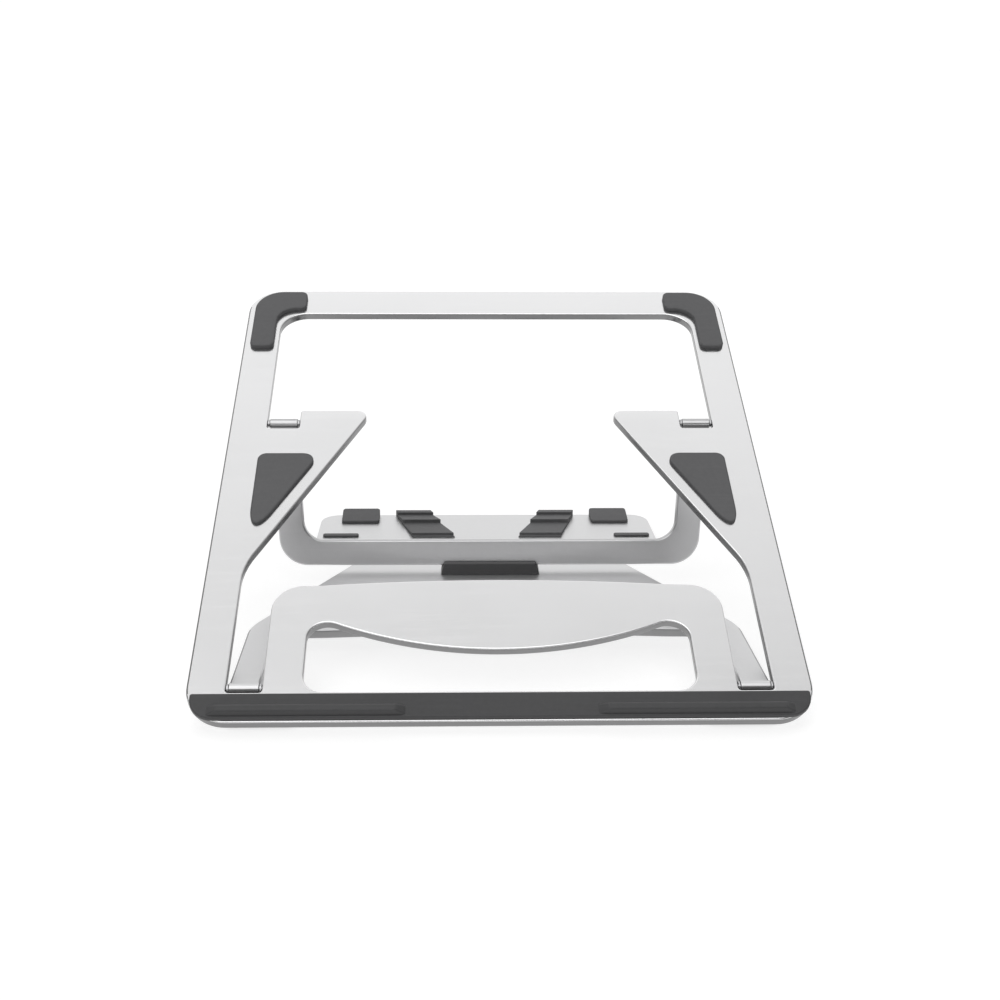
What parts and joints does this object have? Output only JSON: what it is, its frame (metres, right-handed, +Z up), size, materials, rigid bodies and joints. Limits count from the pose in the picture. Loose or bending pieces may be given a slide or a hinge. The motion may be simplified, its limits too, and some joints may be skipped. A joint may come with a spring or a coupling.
{
  "type": "folding laptop stand",
  "caption": "Folding laptop stand of three thin nesting aluminium plates: a sloping open platform, a flat base with a rubber rack, and a U-shaped support leg.",
  "frame": {"origin": "on the desk, under the middle of the standing object", "axes": "+Z up, +Y to the rear where the platform is high, +X to the right of a person sitting in front"},
  "size_m": [0.24, 0.2366, 0.1219],
  "materials": {
    "aluminium": "satin bead-blasted, clear anodised",
    "leg_aluminium": "satin bead-blasted, clear anodised",
    "rubber": "matte moulded",
    "pin_steel": "ground"
  },
  "bodies": {
    "base": {"base_plate": "aluminium", "leg_stop_bar": "rubber", "step_block_left": "rubber", "rest_pad_left": "rubber", "guide_strip_left": "rubber", "rear_foot_left": "rubber", "step_block_right": "rubber", "rest_pad_right": "rubber", "guide_strip_right": "rubber", "rear_foot_right": "rubber"},
    "platform": {"platform_plate": "aluminium", "front_stop_strip": "rubber", "rear_corner_pad_left": "rubber", "wing_pad_left": "rubber", "front_foot_left": "rubber", "front_hinge_pin_left": "pin_steel", "front_hinge_washer_inner_left": "pin_steel", "front_hinge_washer_outer_left": "pin_steel", "leg_hinge_pin_left": "pin_steel", "leg_hinge_washer_inner_left": "pin_steel", "leg_hinge_washer_outer_left": "pin_steel", "rear_corner_pad_right": "rubber", "wing_pad_right": "rubber", "front_foot_right": "rubber", "front_hinge_pin_right": "pin_steel", "front_hinge_washer_inner_right": "pin_steel", "front_hinge_washer_outer_right": "pin_steel", "leg_hinge_pin_right": "pin_steel", "leg_hinge_washer_inner_right": "pin_steel", "leg_hinge_washer_outer_right": "pin_steel"},
    "leg": {"support_leg": "leg_aluminium"}
  },
  "joints": [
    {"name": "platform_tilt", "type": "hinge", "parent": "base", "child": "platform", "pos_m": [0, -0.10274, 0.00975], "axis": [1, 0, 0], "range_deg": [0, 65]},
    {"name": "leg_fold", "type": "hinge", "parent": "platform", "child": "leg", "pos_m": [0, 0.02992, 0.07604], "axis": [1, 0, 0], "range_deg": [0, 127.4]}
  ]
}
